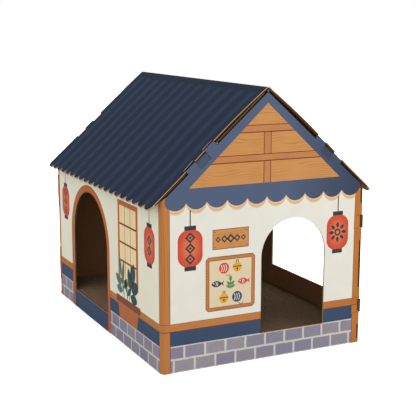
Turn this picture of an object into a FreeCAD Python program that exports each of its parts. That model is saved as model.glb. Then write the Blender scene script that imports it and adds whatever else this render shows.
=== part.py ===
import FreeCAD, Part
import math
import os

from FreeCAD import Placement, Rotation, Vector

# A cat house of corrugated board: two die-cut wall sheets, each folded round one corner, are locked
# together at the other two corners, a creased roof sheet lies on the gables, and a pad of board
# strips on edge fills the floor. Millimetres, +Z up, the front gable faces -Y, and the origin is
# the middle of the footprint on the ground.

# House
WALL_LENGTH = 500.0
WALL_WIDTH = 360.0
EAVE_HEIGHT = 268.0
ROOF_PITCH = 41.3
BOARD = 3.0

# Rounded fold at the front left and back right corners, made of several close creases
FOLD_RADIUS = 8.0
FOLD_CREASES = 4

# Doorways and window: width, sill above the ground, wall left between the head and the eave height,
# and the middle's distance from the middle of the wall, to the right and to the back
FRONT_DOOR_WIDTH = 118.0
FRONT_DOOR_SILL = 42.0
FRONT_DOOR_HEAD = 42.6
FRONT_DOOR_OFFSET = 50.3
SIDE_DOOR_WIDTH = 176.5
SIDE_DOOR_SILL = 32.5
SIDE_DOOR_HEAD = 36.0
SIDE_DOOR_OFFSET = 71.8
WINDOW_WIDTH = 194.0
WINDOW_SILL = 69.6
WINDOW_HEAD = 53.4
WINDOW_OFFSET = -59.0

# Roof sheet. Its underside lies ROOF_SEAT above the side walls, on the folded edges of the gables.
# The front locks squeeze it, so from below them to the ridge each slope is arched by FRONT_ROOF_BOW
# at the front, and by BACK_ROOF_BOW at the back.
ROOF_SEAT = 3.5
EAVE_OVERHANG = 23.5
SCALLOP_COUNT = 20
SCALLOP_DEPTH = 9.0
ROOF_FIT = 0.2
FRONT_ROOF_BOW = 3.2
BACK_ROOF_BOW = 0.8
ROOF_BOW_FROM_EAVE = 50.0
ROOF_LIFT_AT_LOCK = 0.5
ROOF_LIFT_AT_RIDGE = 0.8
RIDGE_CREASE_GAP = 0.3
RIDGE_RADIUS = 6.0

# Lock along a joint: bridge, window with a tongue and a tab, bridge. Two locks hold a wall corner,
# one holds each gable slope, and a long slot runs along the fold everywhere else. On a front slope
# the bridge above the lock stands higher than the one below it, because the roof is arched there.
BRIDGE_LENGTH = 20.0
LOCK_WINDOW = 23.0
CORNER_LOCK_ABOVE_GROUND = 64.0
CORNER_LOCK_BELOW_EAVE = 60.0
GABLE_LOCK_FROM_EAVE = 89.5
CORNER_SLOT = 0.8
GABLE_SLOT = 3.0
FLANGE_SETBACK = 5.5
FLANGE_WIDTH = 23.0
FLANGE_POCKET = 8.0
FLANGE_END = 10.0
FOOT_BRIDGE = 6.0
FOOT_RADIUS = 4.0
APEX_LAND = 3.0
BRIDGE_RADIUS = 2.0
BRIDGE_HOLD = 3.4
BRIDGE_RUN = 7.0
CORNER_BRIDGE_RISE = 4.4
GABLE_BRIDGE_RISE = 2.4
FRONT_HIGH_BRIDGE_RISE = 4.8
FRONT_TAB_RISE = 2.6
BACK_TAB_RISE = 1.2
LOCK_CLEARANCE = 0.7
TONGUE_LENGTH = 12.5
TONGUE_CREASE = 12.0
TONGUE_SET = 8.0
KNIFE_CUT = 0.4
CREASE_GAP = 0.15
OVERSHOOT = 1.0

# Scratching pad of corrugated strips standing on edge
PAD_HEIGHT = 32.0
PAD_STRIPS = 86
PAD_SIDE_GAP = 2.0
PAD_END_GAP = 4.0

HALF_WIDTH = WALL_WIDTH / 2
HALF_LENGTH = WALL_LENGTH / 2
INNER_X = HALF_WIDTH - BOARD
FRONT_Y = -HALF_LENGTH
SLOPE = math.radians(ROOF_PITCH)
SLOPE_LENGTH = HALF_WIDTH / math.cos(SLOPE)
SEAT_HEIGHT = EAVE_HEIGHT + ROOF_SEAT
APEX_HEIGHT = SEAT_HEIGHT + HALF_WIDTH * math.tan(SLOPE)
LOCK_HALF = LOCK_WINDOW / 2 + BRIDGE_LENGTH
NOTCH_HALF = LOCK_HALF + LOCK_CLEARANCE
TAB_HALF = LOCK_WINDOW / 2 - LOCK_CLEARANCE
CORNER_LOCKS = (CORNER_LOCK_ABOVE_GROUND, EAVE_HEIGHT - CORNER_LOCK_BELOW_EAVE)
GABLE_LOCKS = (GABLE_LOCK_FROM_EAVE,)
NOTCH_Y = FRONT_Y + BRIDGE_RUN + LOCK_CLEARANCE

# Slot and bridge rise below and above a lock
CORNER_EDGE = ((CORNER_SLOT, CORNER_BRIDGE_RISE), (CORNER_SLOT, CORNER_BRIDGE_RISE))
FRONT_SLOPE_EDGE = ((GABLE_SLOT, GABLE_BRIDGE_RISE), (GABLE_SLOT, FRONT_HIGH_BRIDGE_RISE))
BACK_SLOPE_EDGE = ((GABLE_SLOT, GABLE_BRIDGE_RISE), (GABLE_SLOT, GABLE_BRIDGE_RISE))

# Where a knife that cuts right through a board starts, and how far it goes
THROUGH_GABLE = (FRONT_Y - OVERSHOOT, BOARD + 2 * OVERSHOOT)
THROUGH_SIDE = (INNER_X - OVERSHOOT, BOARD + 2 * OVERSHOOT)
THROUGH_FLANGE = (-BOARD - OVERSHOOT, BOARD + 2 * OVERSHOOT)
THROUGH_ROOF = (ROOF_FIT - OVERSHOOT, BOARD + ROOF_LIFT_AT_RIDGE + FRONT_ROOF_BOW + 2 * OVERSHOOT)


def outline(points, place):
    """A closed wire through the points; a point that holds two pairs is an arc's middle and end."""
    edges = []
    here = place(*points[0])
    for point in points[1:] + [points[0]]:
        if isinstance(point[0], tuple):
            end = place(*point[1])
            edges.append(Part.Arc(here, place(*point[0]), end).toShape())
        else:
            end = place(*point)
            edges.append(Part.makeLine(here, end))
        here = end
    return Part.Wire(edges)


def slab(points, place, push):
    """The solid that a closed outline sweeps along push."""
    return Part.Face(outline(points, place)).extrude(push)


def upright(points, y_low, depth):
    """A board standing in the XZ plane."""
    return slab(points, lambda x, z: Vector(x, y_low, z), Vector(0, depth, 0))


def sideways(points, x_low, depth):
    """A board standing in the YZ plane."""
    return slab(points, lambda y, z: Vector(x_low, y, z), Vector(depth, 0, 0))


def bar(points, z_low, height):
    """A section in the XY plane, carried up by its height."""
    return slab(points, lambda x, y: Vector(x, y, z_low), Vector(0, 0, height))


def rectangle(u_low, u_high, v_low, v_high):
    return [(u_low, v_low), (u_high, v_low), (u_high, v_high), (u_low, v_high)]


def arched(centre, width, sill, head):
    """A doorway's outline: straight jambs under a half round."""
    half = width / 2
    spring = head - half
    return [(centre - half, sill), (centre + half, sill), (centre + half, spring),
            ((centre, head), (centre - half, spring))]


def join(shapes):
    whole = shapes[0]
    for shape in shapes[1:]:
        whole = whole.fuse(shape)
    return whole.removeSplitter()


def half_turn(shape):
    """The same piece on the other wall sheet, turned round the house's upright axis."""
    turned = shape.copy()
    turned.rotate(Vector(0, 0, 0), Vector(0, 0, 1), 180)
    return turned


def mirrored(shape):
    """The same piece on the other slope."""
    return shape.mirror(Vector(0, 0, 0), Vector(1, 0, 0))


# Two frames carry the locks. In both, X points out through the panel that lies over the flange,
# with 0 at the flange's outer face, Y is the house's own, and Z runs along the joint.

def at_corner(shape):
    moved = shape.copy()
    moved.translate(Vector(INNER_X, 0, 0))
    return moved


def at_slope(shape):
    """From the lock frame to the right slope: Z climbs from the eave to the ridge."""
    moved = shape.copy()
    turn = Rotation(Vector(0, 1, 0), ROOF_PITCH - 90)
    moved.Placement = Placement(Vector(HALF_WIDTH, 0, SEAT_HEIGHT), turn).multiply(moved.Placement)
    return moved


def bridge(low, high, slot, rise):
    """A strap of the front sheet that runs round the joint and back to the flange."""
    corner = (rise, FRONT_Y + BRIDGE_RADIUS)
    section = [(-slot, FRONT_Y), (rise - BRIDGE_RADIUS, FRONT_Y),
               (arc_middle(rise, FRONT_Y, BRIDGE_RADIUS), corner),
               (rise, FRONT_Y + BRIDGE_HOLD), (0, FRONT_Y + BRIDGE_RUN),
               (-BOARD, FRONT_Y + BRIDGE_RUN), (rise - BOARD, FRONT_Y + BRIDGE_HOLD),
               (rise - BOARD, FRONT_Y + BOARD), (-slot, FRONT_Y + BOARD)]
    return bar(section, low, high - low)


def arc_middle(u_corner, v_corner, radius):
    """The middle of the arc that rounds an outside corner at high u and low v."""
    inset = radius * (1 - math.sqrt(0.5))
    return (u_corner - inset, v_corner + inset)


def foot_bridge(high, slot, rise):
    """The lowest strap, its outer corner on the ground rounded."""
    corner = [(rise - FOOT_RADIUS, 0), (arc_middle(rise, 0, FOOT_RADIUS), (rise, FOOT_RADIUS)),
              (rise + OVERSHOOT, FOOT_RADIUS), (rise + OVERSHOOT, -OVERSHOOT),
              (rise - FOOT_RADIUS, -OVERSHOOT)]
    knife = upright(corner, FRONT_Y - OVERSHOOT, BRIDGE_RUN + 2 * OVERSHOOT)
    return bridge(0, high, slot, rise).cut(knife)


def flange(low, high, locks, edge, foot=0.0):
    """The folded-back edge of the front sheet, with its bridges, in the lock frame."""
    below, above = edge
    near = FRONT_Y + FLANGE_SETBACK
    far = near + FLANGE_WIDTH
    plate = [(near, low), (far, low + FLANGE_END), (far, high - FLANGE_END), (near, high)]
    body = sideways(plate, -BOARD, BOARD)
    straps = [foot_bridge(foot, *below)] if foot else []
    for lock in locks:
        inner = LOCK_WINDOW / 2
        window = rectangle(near - OVERSHOOT, near + FLANGE_POCKET, lock - inner, lock + inner)
        body = body.cut(sideways(window, *THROUGH_FLANGE))
        straps.append(bridge(lock - LOCK_HALF, lock - inner, *below))
        straps.append(bridge(lock + inner, lock + LOCK_HALF, *above))
    return join([body] + straps)


def tongue(lock):
    """The small flap cut in the front sheet between two bridges, pressed in a little at its crease."""
    flap = bar(rectangle(CREASE_GAP - TONGUE_CREASE, TONGUE_LENGTH - TONGUE_CREASE,
                         FRONT_Y, FRONT_Y + BOARD),
               lock - LOCK_WINDOW / 2 + KNIFE_CUT, LOCK_WINDOW - 2 * KNIFE_CUT)
    flap.rotate(Vector(-TONGUE_CREASE, FRONT_Y + BOARD, 0), Vector(0, 0, 1), TONGUE_SET)
    return flap


def tab(lock, rise):
    """The edge of a side wall between its two notches, sprung outwards over the window."""
    section = [(0, NOTCH_Y), (rise, NOTCH_Y - BRIDGE_HOLD), (rise, FRONT_Y),
               (rise + BOARD, FRONT_Y), (rise + BOARD, NOTCH_Y - BRIDGE_HOLD), (BOARD, NOTCH_Y)]
    return bar(section, lock - TAB_HALF, 2 * TAB_HALF)


def slope_point(out, along):
    """A point in the front view, from its distance out of the roof's underside and up the slope."""
    x = HALF_WIDTH + out * math.sin(SLOPE) - along * math.cos(SLOPE)
    z = SEAT_HEIGHT + out * math.cos(SLOPE) + along * math.sin(SLOPE)
    return (x, z)


def stepped(locks, edge, place):
    """The lock edge of a front sheet: its slots, with pockets for the tongues."""
    low_slot, high_slot = edge[0][0], edge[1][0]
    points = []
    for lock in locks:
        for out, along in ((-low_slot, -1), (-TONGUE_CREASE, -1), (-TONGUE_CREASE, 1),
                           (-high_slot, 1)):
            points.append(place(out, lock + along * LOCK_WINDOW / 2))
    return points


def gable_panel(slope_edge, opening=None):
    """The front of a wall sheet. Its right edge and both slopes are lock edges."""
    slot = GABLE_SLOT / math.cos(SLOPE)
    edge = INNER_X - CORNER_SLOT
    fold = FOLD_RADIUS - HALF_WIDTH

    def under_slope(x):
        return SEAT_HEIGHT + (HALF_WIDTH - abs(x)) * math.tan(SLOPE) - slot

    climb = stepped(GABLE_LOCKS, slope_edge, slope_point)
    climb += [slope_point(-GABLE_SLOT, SLOPE_LENGTH - APEX_LAND),
              slope_point(0, SLOPE_LENGTH - APEX_LAND)]
    descent = [(-x, z) for x, z in reversed(climb)]
    points = [(fold, 0), (edge, 0)]
    points += stepped(CORNER_LOCKS, CORNER_EDGE, lambda out, along: (INNER_X + out, along))
    points += [(edge, under_slope(edge))] + climb + [(0, APEX_HEIGHT)] + descent
    points += [(fold, under_slope(fold))]
    panel = upright(points, FRONT_Y, BOARD)
    if opening:
        panel = panel.cut(upright(opening, *THROUGH_GABLE))
    return panel


def side_panel(opening, tab_rise):
    """The side of a wall sheet, drawn on the right: notches and tabs in front, fold behind."""
    panel = sideways(rectangle(FRONT_Y, HALF_LENGTH - FOLD_RADIUS, 0, EAVE_HEIGHT), INNER_X, BOARD)
    notches = [(-OVERSHOOT, FOOT_BRIDGE + LOCK_CLEARANCE)]
    tabs = []
    for lock in CORNER_LOCKS:
        notches.append((lock - NOTCH_HALF, lock + NOTCH_HALF))
        tabs.append(at_corner(tab(lock, tab_rise)))
    for low, high in notches:
        cut = rectangle(FRONT_Y - OVERSHOOT, NOTCH_Y, low, high)
        panel = panel.cut(sideways(cut, *THROUGH_SIDE))
    return join([panel] + tabs).cut(sideways(opening, *THROUGH_SIDE))


def corner_fold():
    """The strip of close creases between the front and the left of a wall sheet."""
    centre_x = FOLD_RADIUS - HALF_WIDTH
    centre_y = FRONT_Y + FOLD_RADIUS

    def ring(radius, steps):
        points = []
        for step in steps:
            angle = math.radians(180 + 90 * step / FOLD_CREASES)
            points.append((centre_x + radius * math.cos(angle), centre_y + radius * math.sin(angle)))
        return points

    steps = list(range(FOLD_CREASES + 1))
    section = ring(FOLD_RADIUS, steps) + ring(FOLD_RADIUS - BOARD, reversed(steps))
    post = bar(section, 0, APEX_HEIGHT)
    gable = [(-HALF_WIDTH, 0), (0, 0), (0, APEX_HEIGHT - ROOF_SEAT), (-HALF_WIDTH, EAVE_HEIGHT)]
    return post.common(upright(gable, FRONT_Y, FOLD_RADIUS))


def roof_arch(depth, bow):
    """The foot, the middle and the ridge end of a slope's arch, in the lock frame, at a height in
    the board above its underside. The ridge end lies in the plane between the two slopes."""
    foot = (ROOF_LIFT_AT_LOCK + depth, ROOF_BOW_FROM_EAVE)
    out = ROOF_LIFT_AT_RIDGE + depth
    ridge = (out, SLOPE_LENGTH + out * math.tan(SLOPE))
    middle = ((foot[0] + ridge[0]) / 2 + bow, (foot[1] + ridge[1]) / 2)
    return foot, middle, ridge


def roof_section(bow):
    """The right slope cut across, from below its eave to the ridge."""
    under_foot, under_middle, under_ridge = roof_arch(0, bow)
    foot, middle, ridge = roof_arch(BOARD, bow)
    below_eave = -EAVE_OVERHANG - OVERSHOOT
    return [(ROOF_FIT, below_eave), under_foot, (under_middle, under_ridge), ridge,
            (middle, foot), (ROOF_FIT + BOARD, below_eave)]


def peak_section(bow):
    """What the rounded ridge crease takes off the sharp peak of the right slope, cut across."""
    foot, _, ridge = roof_arch(BOARD, bow)
    peak = slope_point(*ridge)[1]
    chord_tilt = math.atan2(ridge[0] - foot[0], ridge[1] - foot[1])
    angle = SLOPE + chord_tilt - 2 * math.atan2(2 * bow, math.dist(foot, ridge))
    centre = peak - RIDGE_RADIUS / math.cos(angle)

    def round_point(turn):
        return (RIDGE_RADIUS * math.sin(turn), centre + RIDGE_RADIUS * math.cos(turn))

    tangent = round_point(angle)
    return [round_point(0), (round_point(angle / 2), tangent), (tangent[0], peak + OVERSHOOT),
            (0, peak + OVERSHOOT)]


def along_roof(section, past):
    """The solid between the front's and the back's form of a section, drawn on past both ends."""
    wires = []
    for bow, y in ((FRONT_ROOF_BOW, FRONT_Y - past), (BACK_ROOF_BOW, HALF_LENGTH + past)):
        wires.append(outline(section(bow), lambda x, z: Vector(x, y, z)))
    return Part.makeLoft(wires, True, True)


def roof_panel():
    """The right slope of the roof sheet, with its scalloped eave and its notches."""
    above_ridge = SLOPE_LENGTH + 2 * BOARD
    valley = SCALLOP_DEPTH - EAVE_OVERHANG
    pitch = WALL_LENGTH / SCALLOP_COUNT
    points = [(FRONT_Y, above_ridge), (FRONT_Y, valley)]
    for number in range(SCALLOP_COUNT):
        start = FRONT_Y + number * pitch
        points.append(((start + pitch / 2, -EAVE_OVERHANG), (start + pitch, valley)))
    points.append((HALF_LENGTH, above_ridge))
    panel = sideways(points, *THROUGH_ROOF).common(along_roof(roof_section, 0))
    for lock in GABLE_LOCKS:
        for low, high in ((-NOTCH_HALF, -TAB_HALF), (TAB_HALF, NOTCH_HALF)):
            cut = rectangle(FRONT_Y - OVERSHOOT, NOTCH_Y, lock + low, lock + high)
            for end in (cut, [(-y, z) for y, z in cut]):
                panel = panel.cut(sideways(end, *THROUGH_ROOF))
    past_ridge = Part.makeBox(WALL_WIDTH, 2 * WALL_LENGTH, WALL_WIDTH,
                              Vector(RIDGE_CREASE_GAP / 2 - WALL_WIDTH, -WALL_LENGTH, EAVE_HEIGHT))
    return at_slope(panel).cut(past_ridge).cut(along_roof(peak_section, OVERSHOOT))


def scratch_pad():
    """Corrugated strips on edge, glued side by side."""
    half_wide = INNER_X - BOARD - PAD_SIDE_GAP
    half_long = HALF_LENGTH - BOARD - PAD_END_GAP
    pitch = 2 * half_wide / PAD_STRIPS
    strips = []
    for number in range(PAD_STRIPS):
        corner = Vector(number * pitch - half_wide, -half_long, 0)
        strips.append(Part.makeBox(pitch, 2 * half_long, PAD_HEIGHT, corner))
    return Part.makeCompound(strips)


def wall_sheet(slope_edge):
    """The small pieces of a wall sheet."""
    slope_flange = flange(FLANGE_END, SLOPE_LENGTH - APEX_LAND - BOARD, GABLE_LOCKS, slope_edge)
    gable_flange = at_slope(slope_flange)
    gable_tongue = at_slope(tongue(GABLE_LOCK_FROM_EAVE))
    return {
        "corner_fold": corner_fold(),
        "lock_flange": at_corner(flange(0, EAVE_HEIGHT, CORNER_LOCKS, CORNER_EDGE, FOOT_BRIDGE)),
        "lower_tongue": at_corner(tongue(CORNER_LOCKS[0])),
        "upper_tongue": at_corner(tongue(CORNER_LOCKS[1])),
        "gable_flange_right": gable_flange,
        "gable_flange_left": mirrored(gable_flange),
        "gable_tongue_right": gable_tongue,
        "gable_tongue_left": mirrored(gable_tongue),
    }


front_door = arched(FRONT_DOOR_OFFSET, FRONT_DOOR_WIDTH, FRONT_DOOR_SILL,
                    EAVE_HEIGHT - FRONT_DOOR_HEAD)
side_door = arched(-SIDE_DOOR_OFFSET, SIDE_DOOR_WIDTH, SIDE_DOOR_SILL, EAVE_HEIGHT - SIDE_DOOR_HEAD)
window = rectangle(WINDOW_OFFSET - WINDOW_WIDTH / 2, WINDOW_OFFSET + WINDOW_WIDTH / 2,
                   WINDOW_SILL, EAVE_HEIGHT - WINDOW_HEAD)

parts = {
    "front_wall": gable_panel(FRONT_SLOPE_EDGE, front_door),
    "left_wall": half_turn(side_panel(side_door, BACK_TAB_RISE)),
    "back_wall": half_turn(gable_panel(BACK_SLOPE_EDGE)),
    "right_wall": side_panel(window, FRONT_TAB_RISE),
    "roof_right": roof_panel(),
    "roof_left": mirrored(roof_panel()),
    "scratch_pad": scratch_pad(),
}

BACK_NAMES = {"gable_flange_right": "gable_flange_left", "gable_flange_left": "gable_flange_right",
              "gable_tongue_right": "gable_tongue_left", "gable_tongue_left": "gable_tongue_right"}
for name, shape in wall_sheet(FRONT_SLOPE_EDGE).items():
    parts["front_" + name] = shape
for name, shape in wall_sheet(BACK_SLOPE_EDGE).items():
    parts["back_" + BACK_NAMES.get(name, name)] = half_turn(shape)

os.makedirs("parts", exist_ok=True)
for name, shape in parts.items():
    shape.exportStep("parts/" + name + ".step")
    print(name, len(shape.Solids), round(shape.Volume), shape.isValid())
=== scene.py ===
"""A printed cat house of folded corrugated board, with a corrugated scratching pad as its floor."""

import math
import random
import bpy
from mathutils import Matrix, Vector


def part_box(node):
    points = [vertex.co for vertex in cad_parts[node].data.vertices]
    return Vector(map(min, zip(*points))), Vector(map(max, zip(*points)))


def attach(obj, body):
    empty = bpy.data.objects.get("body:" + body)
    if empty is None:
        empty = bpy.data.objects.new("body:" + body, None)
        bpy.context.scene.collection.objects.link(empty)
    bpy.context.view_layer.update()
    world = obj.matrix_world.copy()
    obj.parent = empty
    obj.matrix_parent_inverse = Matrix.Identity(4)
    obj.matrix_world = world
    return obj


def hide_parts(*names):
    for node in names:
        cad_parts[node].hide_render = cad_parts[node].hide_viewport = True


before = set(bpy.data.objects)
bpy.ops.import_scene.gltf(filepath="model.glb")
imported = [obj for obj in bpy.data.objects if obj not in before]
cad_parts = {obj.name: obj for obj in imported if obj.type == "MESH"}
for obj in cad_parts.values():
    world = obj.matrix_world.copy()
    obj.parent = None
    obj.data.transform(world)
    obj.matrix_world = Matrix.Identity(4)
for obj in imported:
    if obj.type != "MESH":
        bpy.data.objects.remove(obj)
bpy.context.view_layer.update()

from types import SimpleNamespace

import bmesh
import bpy
from bpy.props import FloatProperty, FloatVectorProperty, IntProperty, PointerProperty
from mathutils import Matrix, Vector

bl_info = {
    "name": "Printed Cat House",
    "version": (1, 0, 0),
    "blender": (4, 5, 0),
    "location": "3D View > Sidebar > Cat House",
    "description": "Prints and finishes a cat house of folded corrugated board",
    "category": "Object",
}

MM = 0.001


def node_box(name):
    """The box of a node of the frame, in millimetres."""
    return [Vector(corner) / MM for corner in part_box(name)]


# The board house, read from the frame. Sizes here and below are millimetres, +Z is up and the front
# gable faces -Y. The roof's underside passes over the side walls' outer faces at the seat height.
HALF_LENGTH = -node_box("front_wall")[0].y
HALF_WIDTH = -node_box("front_corner_fold")[0].x
EAVE_HEIGHT = node_box("left_wall")[1].z
SEAT_HEIGHT = EAVE_HEIGHT + 3.5
APEX_HEIGHT = node_box("front_wall")[1].z
BOARD = node_box("front_wall")[1].y + HALF_LENGTH
PITCH = math.atan2(APEX_HEIGHT - SEAT_HEIGHT, HALF_WIDTH)
FOLD_RADIUS = node_box("front_corner_fold")[1].x + HALF_WIDTH

# Where the locks lie along the corners and up the slopes, and how far their parts spring out. A
# slope's strap rises by one amount below its lock and by the other above it.
CORNER_LOCKS = (64, EAVE_HEIGHT - 60)
GABLE_LOCK_HEIGHT = SEAT_HEIGHT + 89.5 * math.sin(PITCH)
LOCK_HALF_WINDOW = 11.5
NOTCH_DEPTH = 7.7
TAB_RUN = 3.4
TAB_RISE = {"right": 2.6, "left": 1.2}
STRAP_HOLD = 3.4
STRAP_RUN = 7
STRAP_RISE = 4.4
SLOPE_STRAP_RISE = (2.4, 4.8)
SLOPE_SLOT = 3
STRAP_BLEND = 3.6
TONGUE_CREASE = 12
TONGUE_SET = math.radians(8)

# A box round the front doorway, whose cut edge is crushed: its sides and its heights
DOORWAY_SIDES = (-12, 113)
DOORWAY_HEIGHTS = (40, 229)

# The roof sheet's underside above the slope's line: at its lower edge and at the eave, where its
# arch starts and ends up the slope, and the arch itself at the front and at the back
ROOF_EDGE = -24.5
ROOF_FIT = 0.2
ARCH_START, ARCH_END = 50, 242.9
ROOF_LIFT = (0.5, 0.8)
ROOF_BOW = (3.2, 0.8)
RIDGE_RADIUS = 6

# Each wall as seen from outside: the way to the right, the way out, and its distance outward
WALLS = {
    "front": (Vector((1, 0, 0)), Vector((0, -1, 0)), HALF_LENGTH),
    "back": (Vector((-1, 0, 0)), Vector((0, 1, 0)), HALF_LENGTH),
    "left": (Vector((0, -1, 0)), Vector((-1, 0, 0)), HALF_WIDTH),
    "right": (Vector((0, 1, 0)), Vector((1, 0, 0)), HALF_WIDTH),
}


def length(name, description, value):
    """A length on the panel, given in millimetres and kept in metres."""
    return FloatProperty(name=name, description=description, default=value * MM, min=0,
                         unit="LENGTH", subtype="DISTANCE", precision=4)


def colour(name, description, *screen):
    """A colour on the panel, given by its 0 to 255 screen values and kept as linear light."""
    parts = [part / 255 for part in screen]
    light = [part / 12.92 if part <= 0.04045 else ((part + 0.055) / 1.055) ** 2.4 for part in parts]
    return FloatVectorProperty(name=name, description=description, default=light, size=3, min=0,
                               max=1, subtype="COLOR")


class HouseSizes(bpy.types.PropertyGroup):
    brick_top: length("Brick band", "Height of the two courses of brick", 43)
    brick_length: length("Brick length", "Length of a brick with its joint", 35.6)
    brick_joint: length("Brick joint", "Width of the mortar line", 4)
    rail_low: length("Rail underside", "Height of the wooden rail's lower edge", 66.5)
    rail_high: length("Rail top", "Height of the wooden rail's upper edge", 78.5)
    post_width: length("Corner post", "Width of the printed posts on the gable walls", 14)
    side_post_width: length("Side post", "Width of the printed posts on the side walls", 8)
    line_width: length("Outline", "Width of the dark lines round printed timber", 1.3)
    valance_top: length("Valance top", "Height of the valance's upper edge", 286)
    valance_valley: length("Valance notch", "Height of the cusps between scallops", 264)
    valance_low: length("Valance bottom", "Height of the scallops' lowest points", 253.6)
    valance_half: length("Valance reach", "Half of the valance's length", 173.3)
    valance_scallops: IntProperty(name="Scallops", description="Scallops along the valance",
                                  default=10, min=2)
    gable_foot: length("Gable boards", "Half of the boarded triangle's base", 134)
    gable_apex: length("Gable apex", "Height of the boarded triangle's apex", 409)
    trim_width: length("Doorway trim", "Width of the trim round the side doorway", 12)
    lantern_width: length("Lantern width", "Width of a paper lantern", 41.6)
    lantern_low: length("Lantern bottom", "Height of the lantern body's lower end", 165.5)
    lantern_high: length("Lantern top", "Height of the lantern body's upper end", 223)
    stripe_pitch: length("Roof stripes", "Distance between the soft stripes of the roof", 37.2)
    stripe_start: length("First stripe", "From the middle of the roof to a stripe", 34.1)
    row_pitch: length("Roof rows", "Distance between the faint rows of the roof", 39)
    cord_width: length("Cord width", "Width of the cords that the lanterns hang from", 1.8)


class HouseColours(bpy.types.PropertyGroup):
    cream: colour("Plaster", "Cream of the gable walls", 234, 231, 218)
    side_cream: colour("Side plaster", "Warmer cream of the side walls", 242, 238, 217)
    timber: colour("Timber", "Posts and rails", 195, 127, 69)
    # The corner timber is the timber darkened by painted shade near the locked corner.
    shaded_corner_timber: colour("Corner timber", "Post and rail near the locked corner", 193, 119, 54)
    trim: colour("Trim", "Trim of the side doorway and the windows", 196, 108, 44)
    plank: colour("Planks", "Boards of the gable", 205, 145, 84)
    beam: colour("Beams", "Beams of the gable", 196, 132, 80)
    outline: colour("Timber lines", "Grain and outlines of printed timber", 128, 62, 40)
    navy: colour("Navy", "Band above the bricks", 62, 79, 106)
    slate: colour("Slate blue", "Valance and gable border", 75, 87, 111)
    brick_warm: colour("Warm brick", "Greyer bricks", 156, 149, 155)
    brick_cold: colour("Cold brick", "Bluer bricks", 139, 133, 151)
    mortar: colour("Mortar", "Joints between the bricks", 208, 203, 196)
    roof: colour("Roof", "Dark ground of the roof", 34, 44, 61)
    stripe: colour("Roof stripe", "Soft stripes of the roof", 45, 58, 84)
    beige: colour("Beige", "Edging under the valance", 232, 196, 152)
    tan: colour("Tan", "Line along the edging", 208, 164, 122)
    coral: colour("Coral", "Rim of the lanterns", 210, 78, 56)
    glow: colour("Glow", "Middle of the lanterns", 226, 128, 86)
    ink: colour("Dark ink", "Caps, cords and marks", 63, 61, 66)
    pane: colour("Paper pane", "Panes of the lattice window", 250, 226, 178)
    pane_line: colour("Pane line", "Pale lines down the panes", 224, 192, 144)
    panel: colour("Panel", "Ground of the framed picture", 228, 210, 175)
    teal: colour("Teal leaf", "Lighter leaves", 84, 128, 114)
    forest: colour("Dark leaf", "Darker leaves", 50, 78, 78)
    pot: colour("Flower pot", "Body of the flower pot", 184, 112, 66)
    pot_rim: colour("Pot rim", "Rim of the flower pot", 136, 76, 58)
    gold: colour("Gold", "Bells of the picture", 230, 168, 62)
    white: colour("White", "Light parts of the picture", 244, 240, 230)
    green: colour("Green", "Sprig of the picture", 92, 142, 92)
    # The kraft is darker than plain kraft board, partly as painted shade for the dim inside of the
    # house.
    kraft: colour("Kraft", "Plain side of the board", 136, 99, 66)
    cut_edge: colour("Cut edge", "Paper at the cut edges", 206, 168, 124)
    # The pad's paper is darker than its own colour, partly as painted shade for the dim inside of
    # the house.
    pad: colour("Pad", "Raw paper of the scratching pad", 158, 132, 104)


def sizes():
    """The panel's sizes in millimetres; a count stays as it is."""
    group = bpy.context.scene.cat_house_sizes
    values = {name: getattr(group, name) for name in HouseSizes.__annotations__}
    return SimpleNamespace(**{name: value if isinstance(value, int) else value / MM
                              for name, value in values.items()})


def colours():
    return bpy.context.scene.cat_house_colours


# Shader nodes


class Wire:
    """A value in a node tree, which is added, multiplied and so on like a number."""

    def __init__(self, socket):
        self.socket = socket
        self.tree = socket.id_data

    def __add__(self, other):
        return sums("ADD", self, other)

    def __sub__(self, other):
        return sums("SUBTRACT", self, other)

    def __rsub__(self, other):
        return sums("SUBTRACT", other, self)

    def __mul__(self, other):
        return sums("MULTIPLY", self, other)

    def __truediv__(self, other):
        return sums("DIVIDE", self, other)

    def __abs__(self):
        return sums("ABSOLUTE", self)


def feed(socket, value):
    """Links a wire to a socket, or sets the socket to a plain value."""
    if isinstance(value, Wire):
        value.tree.links.new(value.socket, socket)
    elif socket.type == "RGBA":
        socket.default_value = (*value, 1)
    else:
        socket.default_value = value


def node(kind, inputs, output=0, tree=None, **settings):
    """One output of a new node, in the given tree or in the tree of the first wire fed to it."""
    tree = tree or next(value.tree for value in inputs.values() if isinstance(value, Wire))
    made = tree.nodes.new(kind)
    for name, value in settings.items():
        setattr(made, name, value)
    for key, value in inputs.items():
        feed(made.inputs[key], value)
    return Wire(made.outputs[output])


def sums(operation, *values):
    return node("ShaderNodeMath", dict(enumerate(values)), operation=operation)


def vector(operation, *values, output="Vector"):
    return node("ShaderNodeVectorMath", dict(enumerate(values)), output, operation=operation)


def dot(place, axis):
    return vector("DOT_PRODUCT", place, tuple(axis), output="Value")


def reach(place):
    return vector("LENGTH", place, output="Value")


def shade(colour_value, amount):
    """A colour made lighter or darker by a factor."""
    return node("ShaderNodeVectorMath", {0: colour_value, "Scale": amount}, operation="SCALE")


def flat(x, y):
    """A place from two parts."""
    return node("ShaderNodeCombineXYZ", {"X": x, "Y": y})


def axes(place):
    """The three parts of a place."""
    return [node("ShaderNodeSeparateXYZ", {0: place}, part) for part in range(3)]


def mix(factor, first, second):
    return node("ShaderNodeMix", {0: factor, 6: first, 7: second}, 2, data_type="RGBA")


def rise(value, low, high, kind="LINEAR"):
    """0 before low, 1 past high."""
    inputs = {"Value": value, "From Min": low, "From Max": high}
    return node("ShaderNodeMapRange", inputs, interpolation_type=kind)


def within(value, low, high, soft):
    """1 between low and high, 0 outside."""
    return rise(value, low - soft, low + soft) * rise(value, high + soft, high - soft)


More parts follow.
